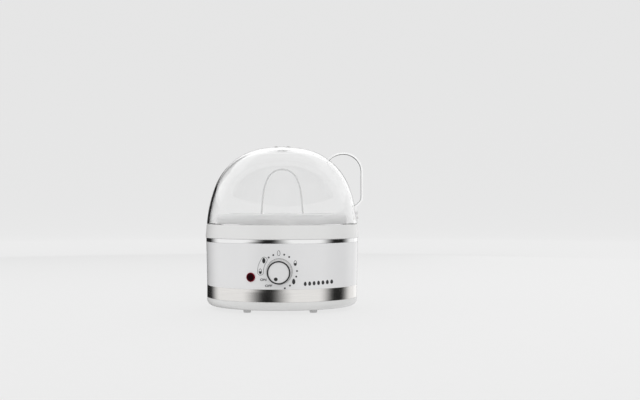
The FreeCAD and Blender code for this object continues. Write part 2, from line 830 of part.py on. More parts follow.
def make_lamp(shell):
    blank = revolved("LensTurned", [
        ("0", "lens_front - 1.6"),
        ("lens_radius - 0.9", "lens_front - 1.6"),
        ("lens_radius - 0.9", "lens_back"),
        ("lens_radius", "lens_back"),
        ("lens_radius", "lens_front - 2.5"),
        ("lens_flange_radius", "lens_front - 2.5"),
        ("lens_flange_radius", "lens_front - lens_crown"),
        arc("0", "lens_front", dome_radius("lens_flange_radius", "lens_crown"), "left"),
    ])
    facing(blank, "lamp_height", "lamp_angle")
    keep(cut("IndicatorLens", blank, shell), "indicator_lens")
    holder = tube("LampHolderTube", "lens_radius + 1.3", "lens_radius", "1.5", "lens_back + 1")
    keep(facing(holder, "lamp_height", "lamp_angle"), "lamp_clip")
    neon = revolved("NeonTurned", [
        ("0", "lens_back - 6"),
        ("neon_radius", "lens_back - 6"),
        ("neon_radius", "lens_front - 4.6"),
        arc("0", "lens_front - 4.6 + neon_radius", "neon_radius", "left"),
    ])
    keep(facing(neon, "lamp_height", "lamp_angle"), "neon_lamp")
    socket = tube("SocketTube", "lens_radius", "neon_radius", "7", "lens_back - 7")
    plug = cylinder("SocketPlug", "lens_radius", "1", z="lens_back - 8")
    whole = fuse("LampSocket", socket, plug)
    keep(facing(whole, "lamp_height", "lamp_angle"), "lamp_socket")


# ---------------------------------------------------------------- mains entry and small electrics

def make_cord_gland(shell):
    blank = revolved("GlandTurned", [
        ("entry_bore", "shell_inner - 5"),
        ("entry_neck + 0.7", "shell_inner - 5"),
        ("entry_neck + 0.7", "shell_inner - 2"),
        ("entry_neck", "shell_inner - 2"),
        ("entry_neck", "band_outer - 0.6"),
        ("entry_flange", "band_outer - 0.6"),
        ("entry_flange", "band_outer + 0.9"),
        arc("entry_flange - 0.8", "band_outer + 1.7", "0.8", "left"),
        ("entry_bore + 0.8", "band_outer + 1.7"),
        arc("entry_bore", "band_outer + 0.9", "0.8", "left"),
    ])
    facing(blank, "entry_height", "180")
    seat = tube("GlandSeat", "band_outer", "band_inner - 1", "band_top - cover_top", "cover_top")
    hole = radial_cylinder("GlandSeatHole", "entry_neck", "20", "lens_back", "entry_height", "180")
    keep(cut("CordGland", blank, cut("GlandSeatCut", seat, hole)), "cord_gland")


def make_cord_clamp():
    bar = box("ClampBar", "clamp_length", "clamp_width", "clamp_top - clamp_bottom", "0", "clamp_place",
              "clamp_bottom")
    groove = fuse(
        "ClampGroove",
        radial_cylinder("ClampRound", "entry_bore", "20", "clamp_place - 10", "entry_height", "180"),
        box("ClampSlot", "2 * entry_bore", "10", "entry_height - clamp_bottom + 1", "0", "clamp_place",
            "clamp_bottom - 1"),
        cylinder("ClampHoleA", "screw_pilot", "20", "clamp_screw_place", "clamp_place", "clamp_bottom - 1"),
        cylinder("ClampHoleB", "screw_pilot", "20", "-clamp_screw_place", "clamp_place", "clamp_bottom - 1"),
    )
    keep(cut("CordClamp", bar, groove), "cord_clamp")
    screw = machine_screw("ClampScrew", "screw_head_radius", "screw_head_height", "screw_pilot",
                          "clamp_top - clamp_bottom + 7", up=False)
    places = [(side + "clamp_screw_place", "clamp_place", "clamp_top") for side in ("", "-")]
    keep(copies("ClampScrews", screw, places), "clamp_screws")


def make_cover_screws():
    screw = machine_screw("CoverScrew", "screw_head_radius", "screw_head_height", "screw_pilot", "20")
    places = [(*polar("screw_circle", angle), "screw_seat") for angle in COVER_SCREW_ANGLES]
    keep(copies("CoverScrews", screw, places), "cover_screws")


def make_terminal_block():
    floor = "cover_floor"
    poles = ("-9", "0", "9")
    block = box("BlockBody", "30", "16", "13", "0", "block_place", floor)
    wells = [
        cylinder("BlockWell%d" % number, "2.2", "7", pole, "block_place", floor + " + 6")
        for number, pole in enumerate(poles)
    ]
    keep(cut("TerminalBlock", block, fuse("BlockWells", *wells)), "terminal_block")
    screw = cylinder("PoleScrew", "2.2", "4", "0", "0", "0")
    places = [(pole, "block_place", floor + " + 6") for pole in poles]
    keep(copies("TerminalScrews", screw, places), "terminal_screws")


def make_buzzer():
    floor = "cover_floor"
    case = cylinder("BuzzerCase", "buzzer_radius", "9", "buzzer_place_x", "buzzer_place_y", floor)
    sound = cylinder("BuzzerHole", "2", "3", "buzzer_place_x", "buzzer_place_y", floor + " + 6")
    keep(cut("SignalBuzzer", case, sound), "signal_buzzer")


# Routes of the insulated wires inside the housing, from one terminal to the next.
WIRE_ROUTES = {
    "live_wire": [(-9, 32, 6.3), (-9, 12, 6.3), (-14, -12, 22), (-10, -34, 41.3), (-10, -53, 41.3)],
    "switched_wire": [(10, -53, 41.3), (10, -40, 41.3), (4, -22, 46), (4, -22, 60.3)],
    "element_wire": [(-4, -22, 60.3), (-4, -22, 50), (-8, 0, 43), (-10.87, 29, 43),
                     (-10.87, 40.57, 47), (-10.87, 40.57, 56)],
    "neutral_wire": [(9, 32, 6.3), (9, 20, 6.3), (20, 10, 22), (14, 22, 42), (10.87, 40.57, 45),
                     (10.87, 40.57, 56)],
    "earth_wire": [(0, 32, 6.3), (0, 18, 6.3), (5, 6, 20), (12, 0, 38), (12, 0, 65.5)],
}


def wire_path(points):
    """Straight runs joined by tangent arcs, each as large as its two runs allow."""
    edges = []
    start = points[0]
    for before, corner, after in zip(points, points[1:], points[2:]):
        back = before - corner
        ahead = after - corner
        reach = 0.45 * min(back.Length, ahead.Length)
        back.normalize()
        ahead.normalize()
        half_turn = (math.pi - back.getAngle(ahead)) / 2
        radius = reach / math.tan(half_turn)
        inward = (back + ahead).normalize()
        middle = corner + inward * (radius / math.cos(half_turn) - radius)
        first = corner + back * reach
        last = corner + ahead * reach
        edges.append(Part.LineSegment(start, first).toShape())
        edges.append(Part.Arc(first, middle, last).toShape())
        start = last
    edges.append(Part.LineSegment(start, points[-1]).toShape())
    return Part.Wire(edges)


def make_wires():
    radius = size("wire_radius")
    for label, route in WIRE_ROUTES.items():
        points = [FreeCAD.Vector(*point) for point in route]
        path = wire_path(points)
        section = Part.Wire([Part.makeCircle(radius, points[0], points[1] - points[0])])
        solid = path.makePipeShell([section], True, False)
        if abs(solid.Volume / (path.Length * math.pi * radius ** 2) - 1) > 0.01:
            raise RuntimeError(label + " has the wrong volume")
        thing = doc.addObject("Part::Feature", label.title().replace("_", ""))
        thing.Shape = solid
        keep(thing, label)


# ---------------------------------------------------------------- egg rack

def make_egg_rack():
    inner = "rack_radius - rack_thick"
    body = revolved("RackTurned", [
        ("0", "rack_top"),
        ("0", "rack_top - rack_thick"),
        ("rack_radius - rack_round", "rack_top - rack_thick"),
        arc(inner, "rack_top - rack_round", "rack_round - rack_thick", "right"),
        (inner, "rack_bottom"),
        ("rack_radius", "rack_bottom"),
        ("rack_radius", "rack_top - rack_round"),
        arc("rack_radius - rack_round", "rack_top", "rack_round", "left"),
    ])
    eggs = [("0", "0")] + [polar("egg_ring_radius", angle) for angle in EGG_ANGLES]
    steam = [(*polar("steam_ring_radius", "%d" % (60 * step)), "steam_hole_radius") for step in range(6)]
    cups = [(x, y, "egg_hole_radius + egg_cup_wall") for x, y in eggs]
    holes = [(x, y, "egg_hole_radius") for x, y in eggs]
    add_posts(body, "EggCups", cups, "egg_cup_bottom", "rack_top + egg_bead")
    drill(body, "EggHoles", holes, "egg_cup_bottom - 1", "rack_top + egg_bead")
    drill(body, "SteamHoles", steam, "rack_top - rack_thick", "rack_top")
    arch = make_rack_arch()
    keep(cut("EggRack", body, arch), "egg_rack")
    keep(arch, "rack_handle")


def make_rack_arch():
    inner_x = "arch_leg_x - arch_thick * sin(arch_leg_angle)"
    inner_z = "arch_leg_z - arch_thick * cos(arch_leg_angle)"
    crown_x = "arch_crown_x - arch_thick * sin(arch_crown_angle)"
    crown_z = "arch_crown_z - arch_thick * cos(arch_crown_angle)"
    foot_x = "%s + (%s - arch_foot_height) * tan(90 - arch_leg_angle)" % (inner_x, inner_z)
    return extruded("RackHandle", [
        ("arch_foot", "arch_foot_height"),
        ("arch_leg_x", "arch_leg_z"),
        arc("arch_crown_x", "arch_crown_z", "arch_side_radius", "left"),
        arc("-arch_crown_x", "arch_crown_z", "arch_crown_radius", "left"),
        arc("-arch_leg_x", "arch_leg_z", "arch_side_radius", "left"),
        ("-arch_foot", "arch_foot_height"),
        ("-(%s)" % foot_x, "arch_foot_height"),
        ("-(%s)" % inner_x, inner_z),
        arc("-(%s)" % crown_x, crown_z, "arch_side_radius - arch_thick", "right"),
        arc(crown_x, crown_z, "arch_crown_radius - arch_thick", "right"),
        arc(inner_x, inner_z, "arch_side_radius - arch_thick", "right"),
        (foot_x, "arch_foot_height"),
    ], "arch_width")


# ---------------------------------------------------------------- lid

def make_lid():
    crown_x = "lid_crown_x - lid_wall * sin(lid_crown_angle)"
    crown_z = "lid_crown_z - lid_wall * cos(lid_crown_angle)"
    shoulder_x = "lid_shoulder_x - lid_wall * sin(lid_shoulder_angle)"
    shoulder_z = "lid_shoulder_z - lid_wall * cos(lid_shoulder_angle)"
    body = revolved("DomeTurned", [
        ("lid_rim_radius", "lid_rim_height"),
        arc("lid_shoulder_x", "lid_shoulder_z", "lid_side_radius", "left"),
        arc("lid_crown_x", "lid_crown_z", "lid_shoulder_radius", "left"),
        arc("0", "lid_top", "lid_crown_radius", "left"),
        ("0", "lid_top - lid_wall"),
        arc(crown_x, crown_z, "lid_crown_radius - lid_wall", "right"),
        arc(shoulder_x, shoulder_z, "lid_shoulder_radius - lid_wall", "right"),
        arc("lid_rim_radius - lid_wall", "lid_rim_height", "lid_side_radius - lid_wall", "right"),
    ])
    add_posts(body, "VentRim", [("0", "0", "vent_rim_radius")], "lid_top - 1", "lid_top + vent_rim_proud")
    drill(body, "VentHole", [("0", "0", "vent_radius")], "lid_top - 2 * lid_wall", "lid_top + vent_rim_proud")
    keep(body, "lid_dome")
    ear = cut("LidHandle", make_ear(), body)
    pins = [
        radial_pin("EarPin" + name, height)
        for name, height in (("Upper", "ear_pin_upper"), ("Lower", "ear_pin_lower"))
    ]
    keep(cut("LidHandlePinned", ear, fuse("EarPinHoles", *pins)), "lid_handle")
    rivets = [cut("EarPinCut%d" % number, pin, body) for number, pin in enumerate(pins)]
    keep(group("HandlePins", rivets), "handle_pins")


def radial_pin(name, height):
    """A rivet that runs out along +X from inside the dome's wall through the handle's pad."""
    pin = clear(cylinder(name, "ear_pin_radius", "ear_pin_length"))
    start = "lid_rim_radius - lid_wall + 0.2 - 0.11 * (%s - ear_pin_lower)" % height
    pin.Placement = FreeCAD.Placement(
        FreeCAD.Vector(size(start), 0, size(height)), FreeCAD.Rotation(FreeCAD.Vector(0, 1, 0), 90))
    return pin


def make_ear():
    low_x = "ear_reach - ear_lower_radius * (1 - cos(ear_lower_angle))"
    low_z = "ear_straight_bottom - ear_lower_radius * sin(ear_lower_angle)"
    in_low_x = "ear_reach - ear_lower_radius + (ear_lower_radius - ear_thick) * cos(ear_lower_angle)"
    in_low_z = "ear_straight_bottom - (ear_lower_radius - ear_thick) * sin(ear_lower_angle)"
    top_x = "ear_reach - ear_corner"
    root_z = "ear_top - ear_root_radius"
    inner_root = "ear_root_radius - ear_thick"
    root_x = "%s - (%%s) * sin(ear_root_angle)" % top_x
    root_top = "%s + (%%s) * cos(ear_root_angle)" % root_z
    return extruded("EarStrap", [
        (root_x % "ear_root_radius", root_top % "ear_root_radius"),
        arc(top_x, "ear_top", "ear_root_radius", "right"),
        arc("ear_reach", "ear_top - ear_corner", "ear_corner", "right"),
        ("ear_reach", "ear_straight_bottom"),
        arc(low_x, low_z, "ear_lower_radius", "right"),
        ("ear_pad_top_x", "ear_pad_top"),
        ("lid_rim_radius + ear_pad_proud", "ear_pad_bottom"),
        ("lid_rim_radius - ear_pad_bite", "ear_pad_bottom"),
        ("ear_pad_root_x", "ear_pad_top + 0.4"),
        (in_low_x, in_low_z),
        arc("ear_reach - ear_thick", "ear_straight_bottom", "ear_lower_radius - ear_thick", "left"),
        ("ear_reach - ear_thick", "ear_top - ear_corner"),
        arc(top_x, "ear_top - ear_thick", "ear_corner - ear_thick", "left"),
        arc(root_x % inner_root, root_top % inner_root, inner_root, "left"),
    ], "ear_width")


# ---------------------------------------------------------------- build, check and write

make_feet()
make_bottom_cover()
shell = make_body_shell()
make_trims()
make_collar()
make_heating_plate()
make_heating_element()
make_plate_fixing()
make_thermal_cutout()
make_control()
make_dial()
make_lamp(shell)
make_cord_gland(shell)
make_cord_clamp()
make_cover_screws()
make_terminal_block()
make_buzzer()
make_wires()
make_egg_rack()
make_lid()
doc.recompute()

for thing in doc.Objects:
    if "Invalid" in thing.State or "Error" in thing.State:
        raise RuntimeError("%s is %s" % (thing.Name, thing.State))
os.makedirs("parts", exist_ok=True)
for thing in SUBPARTS:
    shape = thing.Shape
    if shape.isNull() or not shape.isValid():
        raise RuntimeError("%s has no valid shape" % thing.Label)
for thing in SUBPARTS:
    thing.Shape.exportStep("parts/%s.step" % thing.Label)
    print("%-20s %2d solids %10.1f mm3" % (thing.Label, len(thing.Shape.Solids), thing.Shape.Volume))
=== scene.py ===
import json
import math

import bmesh
import bpy
from mathutils import Matrix, Vector
from mathutils.geometry import tessellate_polygon


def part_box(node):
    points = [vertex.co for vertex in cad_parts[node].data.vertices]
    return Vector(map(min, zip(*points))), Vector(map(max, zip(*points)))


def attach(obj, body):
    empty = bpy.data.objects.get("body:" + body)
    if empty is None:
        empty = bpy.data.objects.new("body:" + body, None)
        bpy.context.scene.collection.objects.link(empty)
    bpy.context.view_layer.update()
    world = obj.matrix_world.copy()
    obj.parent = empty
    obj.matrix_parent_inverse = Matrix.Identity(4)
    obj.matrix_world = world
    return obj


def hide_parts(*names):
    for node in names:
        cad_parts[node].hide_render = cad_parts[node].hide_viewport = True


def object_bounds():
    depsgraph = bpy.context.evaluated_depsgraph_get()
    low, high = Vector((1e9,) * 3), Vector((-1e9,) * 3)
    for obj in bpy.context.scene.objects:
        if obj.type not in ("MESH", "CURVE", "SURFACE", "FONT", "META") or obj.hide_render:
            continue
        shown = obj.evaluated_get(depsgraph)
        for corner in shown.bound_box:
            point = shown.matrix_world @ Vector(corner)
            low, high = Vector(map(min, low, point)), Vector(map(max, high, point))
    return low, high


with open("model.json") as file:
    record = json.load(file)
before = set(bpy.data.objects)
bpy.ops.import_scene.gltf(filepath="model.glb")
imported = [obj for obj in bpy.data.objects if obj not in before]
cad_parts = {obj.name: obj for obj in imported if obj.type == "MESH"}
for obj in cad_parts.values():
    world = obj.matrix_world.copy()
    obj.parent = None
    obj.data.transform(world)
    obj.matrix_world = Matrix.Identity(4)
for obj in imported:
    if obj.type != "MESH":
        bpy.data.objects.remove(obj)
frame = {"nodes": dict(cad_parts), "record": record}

# Electric egg cooker in metres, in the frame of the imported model: the housing's axis is Z, the
# dial faces -Y and the lid's ear handle stands out at +X. Azimuths count from -Y, positive to +X.

NODES = frame["nodes"]
CAD_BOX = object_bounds()
FLOOR = CAD_BOX[0].z
MM = 0.001
LAP = 256          # steps round the axis of a large turned piece
SHARP = math.radians(32)


def size_of(node):
    """A turned node's outer radius, bottom and top, in millimetres."""
    low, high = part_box(node)
    return high.x / MM, low.z / MM, high.z / MM


def middle_height(node):
    """The height of a node's middle, in millimetres."""
    low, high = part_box(node)
    return (low.z + high.z) / 2 / MM


DIAL = middle_height("knob_body")
BEZEL = 13.3


# ---------------------------------------------------------------- materials

def material(name, **sockets):
    """A Principled material whose plain values sit on the shader's own sockets."""
    made = bpy.data.materials.new(name)
    made.use_nodes = True
    shader = made.node_tree.nodes["Principled BSDF"]
    for key, value in sockets.items():
        shader.inputs[key.replace("_", " ")].default_value = value
    return made


def noise(made, scale, detail=3.0, stretch=(1, 1, 1)):
    """A noise texture in the object's own coordinates."""
    nodes, links = made.node_tree.nodes, made.node_tree.links
    where = nodes.new("ShaderNodeTexCoord")
    mapping = nodes.new("ShaderNodeMapping")
    mapping.inputs["Scale"].default_value = stretch
    texture = nodes.new("ShaderNodeTexNoise")
    texture.inputs["Scale"].default_value = scale
    texture.inputs["Detail"].default_value = detail
    links.new(where.outputs["Object"], mapping.inputs["Vector"])
    links.new(mapping.outputs["Vector"], texture.inputs["Vector"])
    return texture.outputs["Fac"]


def ramp(made, socket, source, stops):
    """Colour a socket from a value through (position, colour) stops."""
    nodes, links = made.node_tree.nodes, made.node_tree.links
    node = nodes.new("ShaderNodeValToRGB")
    bar = node.color_ramp.elements
    while len(bar) < len(stops):
        bar.new(0.5)
    for element, (position, colour) in zip(bar, stops):
        element.position = position
        element.color = (*colour, 1)
    links.new(source, node.inputs["Fac"])
    links.new(node.outputs["Color"], nodes["Principled BSDF"].inputs[socket])


def span(made, socket, source, low, high, start=0.3, end=0.7):
    """Drive a number on the shader between two values."""
    nodes, links = made.node_tree.nodes, made.node_tree.links
    node = nodes.new("ShaderNodeMapRange")
    for key, value in (("From Min", start), ("From Max", end), ("To Min", low), ("To Max", high)):
        node.inputs[key].default_value = value
    links.new(source, node.inputs["Value"])
    links.new(node.outputs["Result"], nodes["Principled BSDF"].inputs[socket])


def bump(made, source, height):
    """Raise the surface by a height in metres where the source is high."""
    nodes, links = made.node_tree.nodes, made.node_tree.links
    node = nodes.new("ShaderNodeBump")
    node.inputs["Strength"].default_value = 1.0
    node.inputs["Distance"].default_value = height
    links.new(source, node.inputs["Height"])
    links.new(node.outputs["Normal"], nodes["Principled BSDF"].inputs["Normal"])


def shades(colour, tint):
    """Two ramp stops a little darker and a little lighter than a colour."""
    darker = tuple(c * (1 - tint) for c in colour)
    lighter = tuple(min(1.0, c * (1 + tint)) for c in colour)
    return [(0.3, darker), (0.7, lighter)]


def plastic(name, colour, rough, spread=0.05, tint=0.012, grain=900.0, height=0.000008, **more):
    """Moulded plastic: faint flow clouds in colour and gloss, and a fine grain."""
    made = material(name, Metallic=0.0, IOR=1.5, **more)
    ramp(made, "Base Color", noise(made, 35.0), shades(colour, tint))
    span(made, "Roughness", noise(made, 140.0), rough - spread / 2, rough + spread / 2)
    bump(made, noise(made, grain), height)
    return made


def metal(name, colour, rough, spread=0.06, tint=0.05, stretch=(1, 1, 60), scale=40.0,
          height=0.000003, **more):
    """Metal with fine streaks that run along the two axes with the low stretch."""
    made = material(name, Metallic=1.0, **more)
    streak = noise(made, scale, 4.0, stretch)
    ramp(made, "Base Color", streak, shades(colour, tint))
    span(made, "Roughness", streak, rough - spread / 2, rough + spread / 2)
    bump(made, streak, height)
    return made


def clear(name, tint):
    """Polished clear plastic, with faint flow lines and a trace of wiping marks."""
    made = material(name, Metallic=0.0, IOR=1.49, Transmission_Weight=1.0)
    ramp(made, "Base Color", noise(made, 20.0), shades(tint, 0.004))
    span(made, "Roughness", noise(made, 60.0), 0.0, 0.012)
    bump(made, noise(made, 18.0, 1.0), 0.000003)
    return made


def lens_red(name, centre, radius):
    """Dark red lens, brighter in the thin flange round its edge."""
    made = material(name, Metallic=0.0, IOR=1.4, Roughness=0.35, Specular_IOR_Level=0.05)
    nodes, links = made.node_tree.nodes, made.node_tree.links
    where = nodes.new("ShaderNodeTexCoord")
    reach = nodes.new("ShaderNodeVectorMath")
    reach.operation = "DISTANCE"
    reach.inputs[1].default_value = centre
    links.new(where.outputs["Object"], reach.inputs[0])
    scaled = nodes.new("ShaderNodeMapRange")
    scaled.inputs["From Max"].default_value = radius
    links.new(reach.outputs["Value"], scaled.inputs["Value"])
    deep, dark = (0.011, 0.0015, 0.0025), (0.016, 0.0015, 0.003)
    rim, edge = (0.13, 0.004, 0.012), (0.22, 0.008, 0.025)
    ramp(made, "Base Color", scaled.outputs["Result"], [(0.0, deep), (0.74, dark), (0.88, rim), (1.0, edge)])
    bump(made, noise(made, 700.0), 0.00001)
    return made


WHITE = (0.74, 0.74, 0.735)
SLOTS = {
    "foot_rubber": plastic("FootRubber", (0.52, 0.52, 0.52), 0.65, tint=0.05),
    "base_plastic": plastic("BasePlastic", (0.70, 0.70, 0.695), 0.34),
    "panel_plastic": plastic("PanelPlastic", (0.75, 0.75, 0.755), 0.10, 0.04),
    "band_steel": metal("BandSteel", (0.80, 0.785, 0.765), 0.12, Anisotropic=0.6),
    "trim_steel": metal("TrimSteel", (0.90, 0.90, 0.90), 0.05, 0.03, 0.02),
    "collar_plastic": plastic("CollarPlastic", WHITE, 0.26, 0.02, 0.005),
    "plate_metal": metal("PlateMetal", (0.42, 0.42, 0.43), 0.35, stretch=(1, 1, 1)),
    "seal_rubber": plastic("SealRubber", (0.05, 0.05, 0.05), 0.6),
    "element_tube": metal("ElementTube", (0.25, 0.24, 0.23), 0.45, stretch=(1, 1, 1)),
    "zinc_steel": metal("ZincSteel", (0.66, 0.67, 0.68), 0.3, stretch=(1, 1, 1)),
    "screw_steel": metal("ScrewSteel", (0.60, 0.60, 0.61), 0.25, stretch=(1, 1, 1)),
    "brass": metal("Brass", (0.78, 0.60, 0.30), 0.25, stretch=(1, 1, 1)),
    "black_plastic": plastic("BlackPlastic", (0.03, 0.03, 0.03), 0.4),
    "white_plastic": plastic("WhitePlastic", (0.72, 0.72, 0.69), 0.4),
    "bezel_plastic": plastic("BezelPlastic", (0.55, 0.55, 0.55), 0.3),
    "lamp_glass": plastic("LampGlass", (0.9, 0.6, 0.45), 0.05),
    "gland_rubber": plastic("GlandRubber", (0.50, 0.50, 0.50), 0.5),
    "wire_brown": plastic("WireBrown", (0.12, 0.05, 0.02), 0.4),
    "wire_blue": plastic("WireBlue", (0.02, 0.07, 0.35), 0.4),
    "wire_green": plastic("WireGreen", (0.12, 0.30, 0.03), 0.4),
    "knob_plastic": plastic("KnobPlastic", (0.72, 0.72, 0.725), 0.3),
    "knob_chrome": plastic("KnobRing", (0.014, 0.014, 0.015), 0.42, tint=0.1),
    "pointer_black": plastic("PointerBlack", (0.012, 0.012, 0.012), 0.35),
    "rack_plastic": plastic("RackPlastic", (0.92, 0.92, 0.92), 0.3),
    "clear_handle": clear("ClearHandle", (0.80, 0.805, 0.805)),
    "clear_lid": clear("ClearLid", (0.996, 0.998, 0.998)),
    "pin_grey": plastic("PinGrey", (0.40, 0.40, 0.40), 0.3),
}
LAMP_AZIMUTH = math.radians(-21)
LENS_FRONT, LENS_RADIUS = 84.7 * MM, 4.8 * MM
LENS_CENTRE = (LENS_FRONT * math.sin(LAMP_AZIMUTH), -LENS_FRONT * math.cos(LAMP_AZIMUTH),
               middle_height("indicator_lens") * MM)
SLOTS["red_lens"] = lens_red("RedLens", LENS_CENTRE, LENS_RADIUS)
PRINT = plastic("PrintedInk", (0.018, 0.018, 0.02), 0.45, tint=0.1)
# Grey ink for the printed egg outlines; the same grey also paints a dark shade line round the dial's bezel.
GREY_INK_AND_SHADE = plastic("GreyInkAndPaintedShade", (0.10, 0.10, 0.10), 0.45, tint=0.05)


def satin_glowing_front(made, half_width):
    """Turn a clear strap satin white on its narrow front face, where its width along Y ends, and give that
    face a faint painted glow (emission 0.10), though the strap is no lamp.
    """
    nodes, links = made.node_tree.nodes, made.node_tree.links
    where = nodes.new("ShaderNodeTexCoord")
    apart = nodes.new("ShaderNodeSeparateXYZ")
    links.new(where.outputs["Object"], apart.inputs["Vector"])
    clear_from, satin_glow_from = 0.7 * MM - half_width, 0.3 * MM - half_width
    # The Emission Strength step paints a glow on the strap's front face that stands in for light caught in
    # its edge.
    for socket, polished, satin_and_glow in (("Transmission Weight", 1.0, 0.5), ("Roughness", 0.0, 0.4),
                                    ("Emission Strength", 0.0, 0.10)):
        span(made, socket, apart.outputs["Y"], polished, satin_and_glow, clear_from, satin_glow_from)


# The ear's clear material, with a painted glow on its narrow front face.
EAR_PAINT = clear("EarClear", (0.99, 0.99, 0.99))
satin_glowing_front(EAR_PAINT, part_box("lid_handle")[1].y)
ARCH_PAINT = clear("ArchClear", (0.72, 0.725, 0.725))
for part in frame["record"]["subparts"]:
    for holder in NODES[part["node"]].material_slots:
        holder.material = EAR_PAINT if part["node"] == "lid_handle" else SLOTS[part["material_slot"]]


# ---------------------------------------------------------------- mesh helpers

def mesh_object(name, points, faces, smooth=False):
    """A mesh object in the scene from points in metres and faces of point numbers."""
    data = bpy.data.meshes.new(name)
    data.from_pydata([tuple(p) for p in points], [], faces)
    data.update()
    made = bpy.data.objects.new(name, data)
    bpy.context.scene.collection.objects.link(made)
    if smooth:
        data.shade_smooth()
        data.set_sharp_from_angle(angle=SHARP)
    return made


def finish_piece(piece, body, slot, *stands_for, paint=None):
    """Outward normals, finish, the body it rides on and the nodes it stands for."""
    work = bmesh.new()
    work.from_mesh(piece.data)
    bmesh.ops.remove_doubles(work, verts=work.verts, dist=1e-7)
    bmesh.ops.recalc_face_normals(work, faces=work.faces)
    work.to_mesh(piece.data)
    work.free()
    piece.data.shade_smooth()
    piece.data.set_sharp_from_angle(angle=SHARP)
    piece.data.materials.clear()
    piece.data.materials.append(paint or SLOTS[slot])
    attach(piece, body)
    if stands_for:
        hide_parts(*stands_for)
    return piece


def rounded(corners, steps=6):
    """A closed outline in millimetres from (x, y) corners and (x, y, radius) rounded ones."""
    out = []
    count = len(corners)
    for i, corner in enumerate(corners):
        here = Vector(corner[:2])
        if len(corner) == 2:
            out.append(here)
            continue
        back = (Vector(corners[i - 1][:2]) - here).normalized()
        ahead = (Vector(corners[(i + 1) % count][:2]) - here).normalized()
        half = back.angle(ahead) / 2
        centre = here + (back + ahead).normalized() * (corner[2] / math.sin(half))
        first = here + back * (corner[2] / math.tan(half)) - centre
        last = here + ahead * (corner[2] / math.tan(half)) - centre
        turn = first.angle_signed(last)
        for step in range(steps + 1):
            part = first.copy()
            part.rotate(Matrix.Rotation(-turn * step / steps, 2))
            out.append(centre + part)
    return out


def arc(start, end, radius, steps):
    """Points after start up to end on an arc that bulges to the right of the way from start to end."""
    a, b = Vector(start), Vector(end)
    middle, along = (a + b) / 2, b - a
    rise = math.sqrt(radius ** 2 - (along.length / 2) ** 2)
    centre = middle + Vector((-along.y, along.x)).normalized() * rise
    first, last = a - centre, b - centre
    turn = first.angle_signed(last)
    out = []
    for step in range(1, steps + 1):
        part = first.copy()
        part.rotate(Matrix.Rotation(-turn * step / steps, 2))
        out.append(centre + part)
    return out


def lathe(name, outline, steps=LAP, place=None):
    """Turn a closed outline of (radius, height) millimetres about Z.
    Points at radius 0 close on the axis."""
    points, rows = [], []
    for radius, height in outline:
        if radius < 1e-6:
            rows.append([len(points)] * steps)
            points.append(Vector((0, 0, height * MM)))
            continue
        rows.append(list(range(len(points), len(points) + steps)))
        for step in range(steps):
            turn = 2 * math.pi * step / steps
            points.append(Vector((radius * math.sin(turn), -radius * math.cos(turn), height)) * MM)
    faces = []
    for i, row in enumerate(rows):
        after = rows[(i + 1) % len(rows)]
        for step in range(steps):
            ring = [row[step], row[(step + 1) % steps], after[(step + 1) % steps], after[step]]
            face = [v for k, v in enumerate(ring) if v not in ring[:k]]
            if len(face) > 2:
                faces.append(face)
    if place is not None:
        points = [place @ p for p in points]
    return mesh_object(name, points, faces)


def facing_out(height, azimuth=0.0):
    """The place of a piece turned about Z so that its Z runs out of the housing at an azimuth."""
    turn = Matrix.Rotation(math.radians(azimuth), 4, "Z") @ Matrix.Rotation(math.radians(90), 4, "X")
    return Matrix.Translation((0, 0, height * MM)) @ turn


def cut_with(piece, *tools):
    """Cut closed tools out of a piece and drop them."""
    for tool in tools:
        work = bmesh.new()
        work.from_mesh(tool.data)
        bmesh.ops.recalc_face_normals(work, faces=work.faces)
        work.to_mesh(tool.data)
        work.free()
        change = piece.modifiers.new("cut", "BOOLEAN")
        change.operation = "DIFFERENCE"
        change.solver = "EXACT"
        change.object = tool
    bake(piece)
    for tool in tools:
        bpy.data.objects.remove(tool)


def bake(piece):
    """Apply the modifiers to the mesh."""
    graph = bpy.context.evaluated_depsgraph_get()
    made = bpy.data.meshes.new_from_object(piece.evaluated_get(graph))
    piece.modifiers.clear()
    piece.data = made


def outward(piece):
    """Merge a closed mesh's doubled points and turn its faces outwards."""
    work = bmesh.new()
    work.from_mesh(piece.data)
    bmesh.ops.remove_doubles(work, verts=work.verts, dist=1e-7)
    bmesh.ops.recalc_face_normals(work, faces=work.faces)
    work.to_mesh(piece.data)
    work.free()
    return piece


# ---------------------------------------------------------------- housing

def sleeve(name, node, thick, ease):
    """A thin turned sleeve of a node's size, with eased outer edges."""
    radius, bottom, top = size_of(node)
    inner = radius - thick
    return lathe(name, rounded([(inner, bottom), (radius, bottom, ease), (radius, top, ease), (inner, top)]))


def make_band():
    """The brushed steel band, with the hole for the cord's gland at the back."""
    band = sleeve("band_turned", "steel_band", 0.6, 0.25)
    hole, near, far = 4.7, 70.0, 90.0
    entry = lathe("entry_tool", [(0, near), (hole, near), (hole, far), (0, far)], 48,
                  facing_out(middle_height("cord_gland"), 180))
    cut_with(outward(band), entry)
    finish_piece(band, "housing", "band_steel", "steel_band")


def make_trim():
    """The polished ring above the panel."""
    ring = sleeve("trim_turned", "upper_trim_ring", 0.6, 0.35)
    finish_piece(ring, "housing", "trim_steel", "upper_trim_ring")


def inset(point, lean, wall):
    """The point a wall's thickness inside a curve whose normal leans from upright by some degrees."""
    turn = math.radians(lean)
    return (point[0] - wall * math.sin(turn), point[1] - wall * math.cos(turn))


